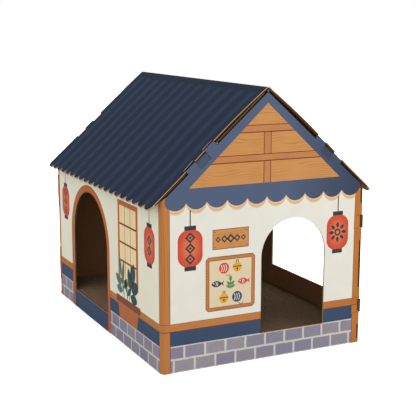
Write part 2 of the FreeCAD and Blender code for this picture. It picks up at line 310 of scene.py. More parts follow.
def noise(place, scale, detail=2.0, output="Fac"):
    return node("ShaderNodeTexNoise", {"Vector": place, "Scale": scale, "Detail": detail}, output)


def house_place(tree):
    """Where a point lies in the house's own frame, in millimetres."""
    return shade(node("ShaderNodeTexCoord", {}, "Object", tree), 1 / MM)


COLOUR_SOCKETS = ("Color", "Line", "Print", "Plaster", "Kraft", "Cut edge")


def effect(name, inputs, outputs):
    """Makes a node group of a function that leads from the group's inputs to its outputs. The group
    is built at its first use, and each use adds it to the tree of the wires that it is given."""

    def take(build):
        def use(*values):
            tree = bpy.data.node_groups.get(name)
            if not tree:
                tree = bpy.data.node_groups.new(name, "ShaderNodeTree")
                for way, labels in (("INPUT", inputs), ("OUTPUT", outputs)):
                    for label in labels:
                        kind = "Color" if label in COLOUR_SOCKETS else "Float"
                        tree.interface.new_socket(name=label, in_out=way,
                                                  socket_type="NodeSocket" + kind)
                given = tree.nodes.new("NodeGroupInput").outputs
                results = build(*[Wire(given[label]) for label in inputs])
                sink = tree.nodes.new("NodeGroupOutput")
                for label, result in zip(outputs, results):
                    feed(sink.inputs[label], result)
            made = node("ShaderNodeGroup", dict(zip(inputs, values)), node_tree=tree)
            found = made.socket.node.outputs
            return [Wire(found[label]) for label in outputs]

        return use

    return take


# The length of one flute of the board
FLUTE = 6.4


@effect("Ink on paper", ("Color", "Flute"), ("Color", "Relief"))
def paper(color, flute):
    """Ink on the board's liner: faint mottling, fibres, and flutes that show through."""
    place = house_place(flute.tree)
    fibre = noise(vector("MULTIPLY", place, (1.0, 1.0, 0.25)), 0.9)
    tone = noise(place, 0.035, 3.0) * 0.10 + fibre * 0.06 + 0.93
    flutes = sums("SINE", flute * (math.tau / FLUTE))
    return shade(color, tone), flutes * 0.22 + fibre * 0.6


@effect("Kraft liner", ("Color", "Flute"), ("Color", "Relief"))
def kraft(color, flute):
    """Plain brown liner: long fibres, specks and the shadow of the flutes."""
    place = house_place(flute.tree)
    fibre = noise(vector("MULTIPLY", place, (0.5, 0.5, 0.16)), 1.1, 3.0)
    flutes = sums("SINE", flute * (math.tau / FLUTE))
    tone = fibre * 0.24 + noise(place, 0.02) * 0.16 + flutes * 0.025 + 0.78
    return shade(color, tone), flutes * 0.3 + fibre * 0.8


@effect("Corrugated board",
        ("Depth", "Flute", "Print", "Kraft", "Cut edge", "Edge shade", "Crushed"),
        ("Color", "Relief", "Roughness"))
def corrugated(depth, flute, shown, plain, cut, edge_shade, crushed):
    """Corrugated board by its depth: the print outside, waves between two liners, kraft inside."""
    wave = sums("SINE", flute * (math.tau / FLUTE)) * 0.95 + BOARD / 2
    medium = rise(abs(depth - wave), 0.3, 0.15)
    liner = sums("MAXIMUM", rise(depth, 1.15, 1.0), rise(depth, BOARD - 0.45, BOARD - 0.35))
    liner = sums("MAXIMUM", liner, crushed)
    printed = rise(depth, 0.32, 0.26)
    inside = rise(depth, BOARD - 0.32, BOARD - 0.26)
    print_color, print_relief = paper(shown, flute)
    kraft_color, kraft_relief = kraft(plain, flute)
    # On a cut edge the hollows between the waves are painted as near-black shade, and the medium's
    # paper is darker than the liners. A crushed edge shows plain paper without the painted hollows.
    edge = mix(liner, mix(medium, shade(cut, 0.04), shade(cut, 0.4)), cut)
    # Edge shade is painted shade over the whole cut edge, where it lies in a slot or in the dark
    # gap under the roof.
    edge = shade(edge, 1 - edge_shade * 0.97)
    color = mix(printed, mix(inside, edge, kraft_color), print_color)
    return color, kraft_relief * inside + print_relief * printed, 0.9 - printed * 0.32


@effect("Drawn timber", ("Along", "Across", "Color", "Line", "Gap", "Bend", "Strength"), ("Color",))
def drawn_timber(along, across, color, line, gap, bend, strength):
    """Timber as an illustrator draws it: a flat tone with a few thin, broken, wandering lines."""
    turns = (noise(flat(along * 0.35, across), 0.045, 1.0) * bend + across) / gap
    off_line = abs(sums("FRACT", turns) - 0.5) * gap
    broken = noise(flat(along, sums("FLOOR", turns) * 17.3), 0.017, 1.0)
    drawn = rise(off_line, 0.62, 0.12) * rise(broken, 0.38, 0.62) * strength
    tone = noise(flat(along * 0.12, across), 0.3) * 0.14 + 0.93
    return [mix(drawn, shade(color, tone), line)]


@effect("Drawn bricks", ("Around", "Height"), ("Color",))
def drawn_bricks(around, height):
    """Two courses of hand-drawn bricks, each with its own tint, in pale mortar."""
    layout, palette = sizes(), colours()
    unit = 100
    here = flat(around, height)
    sway = vector("MULTIPLY_ADD", noise(here, 0.11, output="Color"), (1.8, 1.8, 0), (-0.9, -0.9, 0))
    bricks = node("ShaderNodeTexBrick", {
        "Vector": vector("ADD", here, sway), "Scale": 1 / unit, "Color1": palette.brick_cold,
        "Color2": palette.brick_warm, "Mortar": palette.mortar,
        "Mortar Size": layout.brick_joint / 2 / unit, "Mortar Smooth": 0.25,
        "Brick Width": layout.brick_length / unit, "Row Height": layout.brick_top / 2 / unit})
    hatch = noise(flat(around, height * 4), 0.35)
    return [shade(bricks, noise(here, 0.12, 3.0) * 0.18 + hatch * 0.08 + 0.88)]


def gable_shade(tree):
    """0 over most of a gable wall, rising to 1 at its locked corner, where painted shade darkens
    the slate and the timber.
    """
    x, y, _ = axes(house_place(tree))
    facing = rise(y, 1, -1) * 2 - 1
    return rise(x * facing, 25, 165)


def slate_print(tree):
    """The slate blue of the valance and of the gable's border, with painted light: a painted sheen
    lightens it over most of the wall, and painted shade darkens it towards the locked corner.
    """
    return shade(colours().slate, 1.26 - gable_shade(tree) * 0.62)


@effect("House print", ("Around", "Height", "Into post", "Plaster"), ("Color",))
def house_print(around, height, into_post, plaster):
    """The print that runs round the walls: bricks, navy band, rail, plaster, and corner posts."""
    layout, palette = sizes(), colours()
    low, high, line = layout.rail_low, layout.rail_high, layout.line_width / 2
    band, slate_from = layout.brick_top, layout.valance_valley
    shown = mix(rise(height, band, band + 0.3), drawn_bricks(around, height)[0], palette.navy)
    shown = mix(rise(height, low, low + 0.2), shown, plaster)
    # The slate carries a painted sheen over most of the wall and painted shade towards the locked
    # corner.
    shown = mix(rise(height, slate_from, slate_from + 0.2), shown, slate_print(height.tree))
    # Painted shade: the timber darkens towards the locked corner.
    wood = mix(gable_shade(height.tree), palette.timber, palette.shaded_corner_timber)
    upright = drawn_timber(height, around, wood, palette.outline, 4.6, 3, 0.5)[0]
    level = drawn_timber(around, height, wood, palette.outline, 4.6, 3, 0.5)[0]
    below_gable = rise(height, slate_from + 0.2, slate_from)
    shown = mix(rise(into_post, -0.1, 0.1) * below_gable, shown, upright)
    edge = within(into_post, -line, line, 0.15) * below_gable
    shown = mix(edge * 0.75, shown, palette.outline)
    shown = mix(within(height, low, high, 0.1), shown, level)
    for place, strength in ((low, 0.95), (high, 0.6)):
        drawn = within(height, place - line, place + line, 0.15) * strength
        shown = mix(drawn, shown, palette.outline)
    return [shown]


@effect("Roof print", ("Along ridge", "Up slope"), ("Color",))
def roof_print(ridge, slope):
    """The roof's print: a dark ground, soft stripes down the slope, and faint rows across it."""
    layout = sizes()
    ridge_from, row_start = 229, 4
    sway = noise(flat(ridge, slope * 0.25), 0.08, 1.0)
    turns = (ridge - layout.stripe_start) / layout.stripe_pitch + sway * 0.04 + 0.5
    bell = rise(abs(sums("FRACT", turns) - 0.52), 0.38, 0.0, "SMOOTHSTEP")
    rows = sums("FRACT", (slope + row_start) / layout.row_pitch)
    stripe = bell * rise(slope, ridge_from, ridge_from - 6) * (rows * 0.16 + 0.84)
    joint = rise(abs(rows - 0.5), 0.475, 0.495)
    grain = noise(flat(ridge, slope * 0.1), 0.6, 3.0)
    shown = shade(mix(stripe, colours().roof, colours().stripe), 1 - joint * 0.07)
    return [shade(shown, grain * 0.22 + 0.89)]


def material(name, build, gloss=0.12, bump=(0.6, 0.12)):
    """The material of that name. When it is new, build leads from where a point lies to its colour,
    relief and roughness. bump is the relief's strength and its depth in millimetres."""
    made = bpy.data.materials.get(name)
    if made:
        return made
    made = bpy.data.materials.new(name)
    made.use_nodes = True
    sockets = made.node_tree.nodes["Principled BSDF"].inputs
    color, relief, roughness = build(house_place(made.node_tree))
    normal = node("ShaderNodeBump", {"Height": relief, "Strength": bump[0],
                                     "Distance": bump[1] * MM})
    for label, value in (("Base Color", color), ("Normal", normal), ("Roughness", roughness),
                         ("Specular IOR Level", gloss)):
        feed(sockets[label], value)
    return made


def board_material(name, measure, gloss=0.12):
    """Corrugated board. From where a point lies, measure gives its depth from the print, its place
    across the flutes, its print colour, the painted shade on its cut edge where it lies in a slot
    or in shadow, and whether that edge is crushed."""

    def build(place):
        depth, flute, shown, edge_shade, crushed = measure(place)
        plain, cut = colours().kraft, colours().cut_edge
        return corrugated(depth, flute, shown, plain, cut, edge_shade, crushed)

    return material(name, build, gloss)


def tab_rise(edge, height, most):
    """How far the sprung tabs stand out of their panel, from the distance to its lock edge."""
    raised = 0.0
    for lock in CORNER_LOCKS:
        near = rise(abs(height - lock), LOCK_HALF_WINDOW + 0.1, LOCK_HALF_WINDOW - 0.1)
        raised = sums("MAXIMUM", near, raised)
    return rise(edge, NOTCH_DEPTH, NOTCH_DEPTH - TAB_RUN) * raised * most


def below_valance(height):
    return sums("MINIMUM", height, sizes().valance_valley - 1)


def post_print(around, height):
    """The printed corner post with the rail round it."""
    return house_print(around, below_valance(height), 5.0, colours().cream)[0]


def wall_material(side):
    """The board of one wall, its outside printed."""
    along, outward, distance = WALLS[side]
    gable = side in ("front", "back")
    half = HALF_WIDTH if gable else HALF_LENGTH
    post = sizes().post_width if gable else sizes().side_post_width
    plaster = colours().cream if gable else colours().side_cream

    def measure(place):
        around, height = dot(place, along), axes(place)[2]
        depth = distance - dot(place, outward)
        into_post = abs(around) - (half - post)
        if gable:
            shown_height = height
            out = height * math.cos(PITCH) + abs(around) * math.sin(PITCH)
            slot = SLOPE_ZERO - SLOPE_SLOT
            # Painted shade: the cut edge along the slope's slot is darkened, as it lies in shadow
            # under the roof.
            edge_shade = rise(out, slot - 0.5, slot - 0.2)
            crushed = within(around, *DOORWAY_SIDES, 0.1) * within(height, *DOORWAY_HEIGHTS, 0.1)
        else:
            shown_height = below_valance(height)
            into_post = into_post * 0.5
            edge = around + half
            depth = depth + tab_rise(edge, height, TAB_RISE[side])
            # Painted shade: the cut edge near the lock is darkened, as it lies set back in shadow.
            edge_shade = rise(edge, 9, 8) * 0.85
            crushed = 0.0
        shown = house_print(around, shown_height, into_post, plaster)[0]
        return depth, around, shown, edge_shade, crushed

    return board_material(side + "_wall_board", measure)


def fold_material(name, side):
    """The rounded corner fold; its depth is measured from the middle of its curve."""
    facet = math.cos(math.pi / 16)
    middle_x, middle_y = side * (FOLD_RADIUS - HALF_WIDTH), side * (FOLD_RADIUS - HALF_LENGTH)

    def measure(place):
        x, y, z = axes(place)
        depth = (FOLD_RADIUS - reach(flat(x - middle_x, y - middle_y))) * facet
        return depth, x - y, post_print(x - y, z), 0.0, 0.0

    return board_material(name, measure)


def lock_material(name, axis, zero, kind):
    """The small parts of a lock. kind is corner or slope for flanges with their straps, tongue for
    the flap pressed in at the corner, and slope_tongue for the one in the gable."""

    def measure(place):
        x, y, z = axes(place)
        out, edge = dot(place, axis) - zero, HALF_LENGTH - abs(y)
        if kind in ("tongue", "slope_tongue"):
            depth = edge - (out + TONGUE_CREASE) * math.tan(TONGUE_SET)
        else:
            strap = STRAP_RISE
            if kind == "slope":
                low, high = SLOPE_STRAP_RISE
                above = rise(z, GABLE_LOCK_HEIGHT - 1, GABLE_LOCK_HEIGHT + 1) * rise(y, 1, -1)
                strap = above * (high - low) + low
            side_depth = rise(edge, STRAP_RUN, STRAP_HOLD) * strap - out
            depth = sums("SMOOTH_MIN", side_depth, edge, STRAP_BLEND)
        around, edge_shade = x - y, 0.0
        shown = slate_print(place.tree) if "slope" in kind else post_print(around, z)
        # Painted shade: the tongue pressed in under the roof is printed darker.
        if kind == "slope_tongue":
            tongue_shade = 0.74
            shown = shade(shown, tongue_shade)
        if kind == "slope":
            # Painted shade: past the straps the flange lies in the dark gap under the roof, so its
            # print and cut edge are darkened.
            behind_board = BOARD + 2
            edge_shade = rise(edge, behind_board - 0.4, behind_board + 0.4)
            shown = shade(shown, 1 - edge_shade * 0.85)
        return depth, around, shown, edge_shade, 0.0

    return board_material(name, measure)


def slope_axis(side):
    """The way out of a roof slope: side is 1 on the right and -1 on the left."""
    return Vector((side * math.sin(PITCH), 0, math.cos(PITCH)))


SLOPE_ZERO = slope_axis(1).dot(Vector((HALF_WIDTH, 0, SEAT_HEIGHT)))


def ridge_middle(bow):
    """The height of the middle of the ridge's rounding."""
    angle = PITCH - 2 * math.atan2(2 * bow, ARCH_END - ARCH_START)
    peak = APEX_HEIGHT + (BOARD + ROOF_LIFT[1]) / math.cos(PITCH)
    return peak - RIDGE_RADIUS / math.cos(angle)


def between(factor, first, last):
    return factor * (last - first) + first


def roof_lift(slope, to_back):
    """How far the roof sheet's underside lies above the slope's line."""
    along = rise(slope, ARCH_START, ARCH_END)
    lift = between(rise(slope, ROOF_EDGE, ARCH_START), ROOF_FIT, ROOF_LIFT[0])
    lift = lift + along * (ROOF_LIFT[1] - ROOF_LIFT[0])
    return along * (1 - along) * between(to_back, *ROOF_BOW) * 4 + lift


def roof_material(name, side):
    """One slope of the roof sheet, printed on top, plain kraft underneath."""
    outward = slope_axis(side)
    uphill = Vector((-side * math.cos(PITCH), 0, math.sin(PITCH)))
    eave = uphill.dot(Vector((side * HALF_WIDTH, 0, SEAT_HEIGHT)))
    round_from = ARCH_END - RIDGE_RADIUS * math.tan(PITCH - 0.05)
    eave_cut = -12

    def measure(place):
        x, ridge, z = axes(place)
        slope = dot(place, uphill) - eave
        to_back = rise(ridge, -HALF_LENGTH, HALF_LENGTH)
        depth = SLOPE_ZERO + BOARD - dot(place, outward) + roof_lift(slope, to_back)
        middle = between(to_back, *[ridge_middle(bow) for bow in ROOF_BOW])
        bent = RIDGE_RADIUS - reach(flat(x, z - middle))
        at_ridge = rise(slope, round_from - 0.02, round_from + 0.02)
        depth = at_ridge * (bent - depth) + depth
        at_eave = rise(slope, eave_cut + 1, eave_cut)
        # Painted shade: the inner half of the cut edge is darkened for the dark gap under the roof,
        # and its outer half shows plain paper; at the eave the whole edge is plain paper.
        lower_half = rise(depth, 1.25, 1.45)
        crushed = sums("MAXIMUM", at_eave, 1 - lower_half)
        return depth, ridge, roof_print(ridge, slope)[0], lower_half * (1 - at_eave), crushed

    return board_material(name, measure, gloss=0.02)


def ink(name):
    """A printed colour of the palette on the board's liner."""

    def build(place):
        x, y, _ = axes(place)
        # The slate ink carries the painted sheen and shade of slate_print.
        shown = slate_print(place.tree) if name == "slate" else getattr(colours(), name)
        return *paper(shown, x + y), 0.58

    return material("ink_" + name, build)


def timber_ink(name, gap, bend, strength=0.55, upright=False):
    """Printed timber whose grain runs level, or up."""

    def build(place):
        x, y, height = axes(place)
        around = x + y
        along, across = (height, around) if upright else (around, height)
        wood, line = getattr(colours(), name), colours().outline
        shown = drawn_timber(along, across, wood, line, gap, bend, strength)[0]
        return *paper(shown, around), 0.58

    return material("timber_" + name + ("_upright" if upright else ""), build)


def lantern_paper():
    """Lantern paper: coral at the rim, a warm glow in the middle, and fine ribs across."""

    def build(place):
        across, up, _ = axes(node("ShaderNodeUVMap", {}, tree=place.tree, uv_map="ink"))
        glow = rise(reach(flat(across * 1.5, up)), 33, 3, "SMOOTHSTEP")
        rib = rise(abs(sums("FRACT", up / 2.6) - 0.5), 0.28, 0.48)
        shown = shade(mix(glow, colours().coral, colours().glow), 1.03 - rib * 0.24)
        x, y, _ = axes(place)
        return *paper(shown, x + y), 0.55

    return material("lantern_paper", build)


def pad_paper():
    """Raw kraft paper on edge, with darker glue lines and loose fibres."""

    def build(place):
        x, y, _ = axes(place)
        speck = node("ShaderNodeTexNoise", {"Vector": place, "Scale": 1.3, "Detail": 3.0,
                                            "Roughness": 0.65}, "Fac")
        strip = noise(flat(x * 0.5, y * 0.01), 0.9, 1.0)
        # The pad colour holds painted shade for the dim inside of the house.
        return shade(colours().pad, speck * 0.4 + strip * 0.3 + 0.62), speck, 0.92

    return material("pad_kraft", build, bump=(0.5, 0.2))


# Printed shapes

# How far a printed shape stands out of its wall, and how far each further layer stands over it
FILM = 0.10
LAYER = 0.05


def span(middle, width):
    """Both ends of a stretch of that width."""
    return middle - width / 2, middle + width / 2


def placed(middle, size):
    """A matrix that stretches a unit shape to a size and moves it to its middle."""
    return Matrix.Translation(middle) @ Matrix.Diagonal((*size, 1))


def only(kind, items):
    return [item for item in items if isinstance(item, kind)]


def thicken(bm, height):
    """Makes flat faces solid, down to a height."""
    made = bmesh.ops.extrude_face_region(bm, geom=bm.faces[:])["geom"]
    for vert in only(bmesh.types.BMVert, made):
        vert.co.z = height
    bmesh.ops.recalc_face_normals(bm, faces=bm.faces[:])


class Drawing:
    """Thin shapes printed on one wall, in millimetres to the right and up. A shape with a higher
    layer lies over the others. The UV map holds the way from the middle of each shape."""

    def __init__(self, name, side):
        self.name = name
        self.side = side
        self.bm = bmesh.new()
        self.uv = self.bm.loops.layers.uv.new("ink")
        self.inks = []

    def lay(self, verts, paint, layer, middle=(0, 0)):
        """Gives new flat faces their ink, their layer and their UV."""
        if paint not in self.inks:
            self.inks.append(paint)
        for vert in verts:
            vert.co.z = FILM + layer * LAYER
        for face in {face for vert in verts for face in vert.link_faces}:
            face.material_index = self.inks.index(paint)
            for loop in face.loops:
                loop[self.uv].uv = loop.vert.co.xy - Vector(middle)

    def box(self, left, right, low, high, paint, layer=0, inset=0.0, corner=0.0, steps=1):
        """A rectangle, or one inset from it. Its corners may be cut or, with steps, rounded."""
        middle = ((left + right) / 2, (low + high) / 2)
        place = placed((*middle, 0), (right - left - 2 * inset, high - low - 2 * inset, 1))
        verts = bmesh.ops.create_grid(self.bm, x_segments=1, y_segments=1, size=0.5,
                                      matrix=place)["verts"]
        if corner:
            verts = bmesh.ops.bevel(self.bm, geom=verts, offset=corner, offset_type="OFFSET",
                                    segments=steps, profile=0.5, affect="VERTICES",
                                    material=-1)["verts"]
        self.lay(verts, paint, layer, middle)

    def surround(self, left, right, low, high, width, paint, layer=0):
        """Four bars of that width along the inside of a rectangle."""
        for v in (high - width, low):
            self.box(left, right, v, v + width, paint, layer)
        for u in (left, right - width):
            self.box(u, u + width, low + width, high - width, paint, layer)

    def disc(self, u, v, radius, paint, layer=0, steps=24):
        """A circle, or a lozenge if it has four steps."""
        verts = bmesh.ops.create_circle(self.bm, cap_ends=True, radius=radius, segments=steps,
                                        matrix=Matrix.Translation((u, v, 0)))["verts"]
        self.lay(verts, paint, layer, (u, v))

    def shape(self, points, paint, layer=0):
        """A shape with straight sides."""
        verts = [self.bm.verts.new((u, v, 0)) for u, v in points]
        self.bm.faces.new(verts)
        self.lay(verts, paint, layer, points[0])

    def leaf(self, u, v, length, width, turn, paint, layer=0, steps=8):
        """A pointed leaf between two arcs, from its foot at u, v."""
        bulge = width / 2
        radius = (length * length / 4 + bulge * bulge) / (2 * bulge)
        sweep = 2 * math.asin(length / 2 / radius)
        place = Matrix.Translation((u, v, 0)) @ Matrix.Rotation(turn, 4, "Z")
        first = self.bm.verts.new(place @ Vector((0, 0, 0)))
        verts = [first]
        for side in (1, -1):
            centre = place @ Vector((length / 2, side * (radius - bulge), 0))
            made = bmesh.ops.spin(self.bm, geom=[verts[-1]], cent=centre, axis=(0, 0, 1),
                                  angle=sweep, steps=steps)
            verts += self.walk(verts[-1], made["geom_last"][0])
        closing = verts.pop()
        bmesh.ops.pointmerge(self.bm, verts=[first, closing], merge_co=first.co)
        self.bm.faces.new(verts)
        self.lay(verts, paint, layer, (u, v))

    def walk(self, start, end):
        """The vertices after start along the wire that a spin left, as far as end."""
        path = []
        before, here = None, start
        while here is not end:
            ahead = [edge.other_vert(here) for edge in here.link_edges]
            ahead = [vert for vert in ahead if vert is not before and vert not in path]
            before, here = here, ahead[-1]
            path.append(here)
        return path

    def band(self, u, v, inner, outer, start, sweep, paint, layer=0, steps=24, leg=0.0):
        """A ring or part of one; a leg carries both ends of a half ring straight down."""
        old = set(self.bm.verts)
        direction = Vector((math.cos(start), math.sin(start), 0))
        centre = Vector((u, v, 0))
        ends = [self.bm.verts.new(centre + direction * inner),
                self.bm.verts.new(centre + direction * outer)]
        row = ends + [self.bm.edges.new(ends)]
        made = bmesh.ops.spin(self.bm, geom=row, cent=centre, axis=(0, 0, 1), angle=sweep,
                              steps=steps)
        if leg:
            for end in (row, made["geom_last"]):
                down = bmesh.ops.extrude_edge_only(self.bm, edges=only(bmesh.types.BMEdge, end))
                bmesh.ops.translate(self.bm, verts=only(bmesh.types.BMVert, down["geom"]),
                                    vec=(0, -leg, 0))
        self.lay(set(self.bm.verts) - old, paint, layer, (u, v))

    def trim(self, point, outward):
        """Cuts away what lies beyond a line."""
        everything = self.bm.verts[:] + self.bm.edges[:] + self.bm.faces[:]
        bmesh.ops.bisect_plane(self.bm, geom=everything, dist=0.001, plane_co=(*point, 0),
                               plane_no=(*outward, 0), clear_outer=True)

    def paste(self):
        """Gives the shapes their thickness, moves them to their wall and makes the piece."""
        bm = self.bm
        for face in bm.faces:
            face.normal_update()
        bmesh.ops.reverse_faces(bm, faces=[face for face in bm.faces if face.normal.z < 0])
        thicken(bm, 0)
        along, outward, distance = WALLS[self.side]
        place = Matrix((along, (0, 0, 1), outward)).transposed().to_4x4()
        place.translation = outward * distance
        bmesh.ops.transform(bm, matrix=place, verts=bm.verts[:])
        make_piece(self.name, bm, self.inks, "walls")


def add_object(name, data):
    made = bpy.data.objects.new(name, data)
    bpy.context.scene.collection.objects.link(made)
    return made


def add_mesh(name, bm, materials):
    """A new object of a finished bmesh."""
    mesh = bpy.data.meshes.new(name)
    bm.to_mesh(mesh)
    bm.free()
    for paint in materials:
        mesh.materials.append(paint)
    return add_object(name, mesh)


def make_piece(name, bm, materials, body):
    """A new piece of the house, made in millimetres, that rides on a body."""
    bmesh.ops.scale(bm, vec=(MM, MM, MM), verts=bm.verts[:])
    piece = add_mesh(name, bm, materials)
    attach(piece, body)
    return piece


def dress(name, paint):
    """Puts a material on a node of the frame."""
    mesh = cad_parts[name].data
    mesh.materials.clear()
    mesh.materials.append(paint)


class CATHOUSE_OT_walls(bpy.types.Operator):
    """Print the four walls, their corner folds and their locks"""

    bl_idname = "cat_house.print_walls"
    bl_label = "Print Walls"

    def execute(self, context):
        for side in WALLS:
            dress(side + "_wall", wall_material(side))
        for gable, turn in (("front", 1), ("back", -1)):
            dress(gable + "_corner_fold", fold_material(gable + "_fold_board", turn))
            corner = Vector((turn, 0, 0)), HALF_WIDTH - BOARD
            dress(gable + "_lock_flange", lock_material(gable + "_flange_board", *corner, "corner"))
            tongue = lock_material(gable + "_tongue_board", *corner, "tongue")
            for level in ("_lower_tongue", "_upper_tongue"):
                dress(gable + level, tongue)
            for hand, side in (("right", 1), ("left", -1)):
                slope = slope_axis(side), SLOPE_ZERO
                flange = lock_material(gable + "_slope_board_" + hand, *slope, "slope")
                flap = lock_material(gable + "_slope_tongue_board_" + hand, *slope, "slope_tongue")
                dress(gable + "_gable_flange_" + hand, flange)
                dress(gable + "_gable_tongue_" + hand, flap)
        return {"FINISHED"}


class CATHOUSE_OT_roof(bpy.types.Operator):
    """Print the roof sheet"""

    bl_idname = "cat_house.print_roof"
    bl_label = "Print Roof"

    def execute(self, context):
        dress("roof_right", roof_material("roof_right_board", 1))
        dress("roof_left", roof_material("roof_left_board", -1))
        return {"FINISHED"}


class CATHOUSE_OT_gables(bpy.types.Operator):
    """Draw the boarded gables and the scalloped valances"""

    bl_idname = "cat_house.draw_gables"
    bl_label = "Draw Gables"

    def execute(self, context):
        for side in ("front", "back"):
            draw_valance(side)
            draw_gable_boards(side)
        return {"FINISHED"}


def scallops(drawing, low, paint, layer):
    """A band whose lower edge is a row of arcs between cusps of one height."""
    layout = sizes()
    half, valley, top = layout.valance_half, layout.valance_valley, layout.valance_top
    chord = 2 * half / layout.valance_scallops
    depth = valley - low
    radius = (chord * chord / 4 + depth * depth) / (2 * depth)
    sweep = 2 * math.atan2(chord / 2, radius - depth)
    bm = drawing.bm
    row = [bm.verts.new((-half, valley, 0))]
    for number in range(layout.valance_scallops):
        centre = (-half + (number + 0.5) * chord, low + radius, 0)
        made = bmesh.ops.spin(bm, geom=[row[-1]], cent=centre, axis=(0, 0, 1), angle=sweep,
                              steps=12)
        row += drawing.walk(row[-1], made["geom_last"][0])
    row += [bm.verts.new((half, top, 0)), bm.verts.new((-half, top, 0))]
    bm.faces.new(row)
    drawing.lay(row, paint, layer)


def draw_valance(side):
    layout = sizes()
    drawing = Drawing(side + "_valance", side)
    for below, paint, layer in ((6.6, "beige", 0), (4.1, "tan", 1), (3.1, "beige", 2)):
        scallops(drawing, layout.valance_low - below, ink(paint), layer)
    for hand in (1, -1):
        drawing.trim((hand * (HALF_WIDTH - layout.post_width), 0), (hand, 0))
    scallops(drawing, layout.valance_low, ink("slate"), 3)
    under_slot = SEAT_HEIGHT - (SLOPE_SLOT + 0.3) / math.cos(PITCH)
    for hand in (1, -1):
        drawing.trim((hand * HALF_WIDTH, under_slot), (hand * math.sin(PITCH), math.cos(PITCH)))
    drawing.paste()


def draw_gable_boards(side):
    """A boarded triangle with two beams and a post, each edged with dark lines."""
    layout = sizes()
    foot, apex, base = layout.gable_foot, layout.gable_apex, layout.valance_top
    half_post, line = 6, 1.2
    beams = ((320.4, 330.8), (365.2, 376))
    beam = timber_ink("beam", 3.1, 6.0, 0.36)
    post = timber_ink("beam", 3.1, 6.0, 0.36, upright=True)
    dark = ink("outline")
    drawing = Drawing(side + "_gable_boards", side)
    drawing.box(-foot, foot, base, apex, timber_ink("plank", 3.7, 17.0, 0.42))
    for low, high in ((base, beams[0][0]), (beams[0][1], beams[1][0])):
        drawing.box(-half_post, half_post, low, high, post, 1)
        for edge in (-half_post, half_post):
            drawing.box(*span(edge, line), low, high, dark, 2)
    for low, high in beams:
        drawing.box(-foot, foot, low, high, beam, 1)
        for edge, wide in ((low, 1.3 * line), (high, line)):
            drawing.box(-foot, foot, *span(edge, wide), dark, 2)
    rake = Vector((apex - base, foot)).normalized()
    for hand in (1, -1):
        drawing.trim((hand * foot, base), (hand * rake.x, rake.y))
    drawing.paste()


class CATHOUSE_OT_lanterns(bpy.types.Operator):
    """Draw the paper lanterns"""

    bl_idname = "cat_house.draw_lanterns"
    bl_label = "Draw Lanterns"

    def execute(self, context):
        # Each lantern's wall and place on it, the way to its middle, and how many marks it bears
        places = (("front", "left", -132, 3), ("front", "right", 133, 0),
                  ("left", "front", 205, 2), ("left", "back", -205, 3),
                  ("back", "left", -132, 0), ("back", "right", 132, 3),
                  ("right", "front", -205, 3), ("right", "back", 205, 2))
        for side, end, u, marks in places:
            gable = side in ("front", "back")
            hook = sizes().valance_low + 4 if gable else EAVE_HEIGHT - 2
            draw_lantern(f"{side}_{end}_lantern", side, u, hook, marks)
        return {"FINISHED"}


def draw_lantern(name, side, u, hook, marks):
    """A cord, two caps and a round-ended body with plain lozenges, or with a sun if marks is 0."""
    layout = sizes()
    low, high = layout.lantern_low, layout.lantern_high
    middle = (low + high) / 2
    dark = ink("ink")
    cap_width, cap, overlap = 19.2, 6.6, 0.6
    drawing = Drawing(name, side)
    drawing.box(*span(u, layout.cord_width), high + cap - 1, hook, dark)
    drawing.box(*span(u, layout.lantern_width), low, high, lantern_paper(), corner=17, steps=10)
    for bottom in (low - cap + overlap, high - overlap):
        drawing.box(*span(u, cap_width), bottom, bottom + cap, dark, 1)
    lozenge, pitch = 8.6, 16.6
    for number in range(marks):
        v = middle + (number - (marks - 1) / 2) * pitch
        for layer, part, paint in ((1, 1, dark), (2, 0.54, ink("glow")), (3, 0.3, dark)):
            drawing.disc(u, v, lozenge * part, paint, layer, steps=4)
    if marks == 0:
        draw_sun(drawing, u, middle)
    drawing.paste()


def draw_sun(drawing, u, v):
    """A disc within eight pointed rays."""
    dark = ink("ink")
    drawing.disc(u, v, 6, dark, 1)
    drawing.disc(u, v, 3.2, ink("glow"), 2)
    rays, start = 8, 7.2
    for number in range(rays):
        turn = number * math.tau / rays
        foot = u + start * math.cos(turn), v + start * math.sin(turn)
        drawing.leaf(*foot, 9.4, 5.4, turn, dark, 1, steps=4)


class CATHOUSE_OT_signs(bpy.types.Operator):
    """Draw the bare sign and the framed picture beside the front doorway"""

    bl_idname = "cat_house.draw_signs"
    bl_label = "Draw Signs"

    def execute(self, context):
        draw_sign()
        draw_picture()
        return {"FINISHED"}


def draw_sign():
    """A bare board with a dark edge, nail heads and a row of lozenges."""
    left, right, low, high = board = (-94.4, -31.6, 187.6, 219.2)
    dark = ink("outline")
    drawing = Drawing("front_sign_board", "front")
    drawing.box(*board, dark)
    drawing.box(*board, timber_ink("plank", 3.4, 9.0, 0.42), 1, inset=1)
    middle_u, middle_v = (left + right) / 2, (low + high) / 2
    pitch, largest, shrink = 11, 7.2, 1.3
    for number in range(-2, 3):
        u, size = middle_u + number * pitch, largest - shrink * abs(number)
        drawing.disc(u, middle_v, size, ink("ink"), 2, steps=4)
        drawing.disc(u, middle_v, size * 0.5, ink("plank"), 3, steps=4)
    nail = 4
    for u in (left + nail, right - nail):
        for v in (low + nail, high - nail):
            drawing.disc(u, v, 0.9, dark, 2, steps=10)
    drawing.paste()


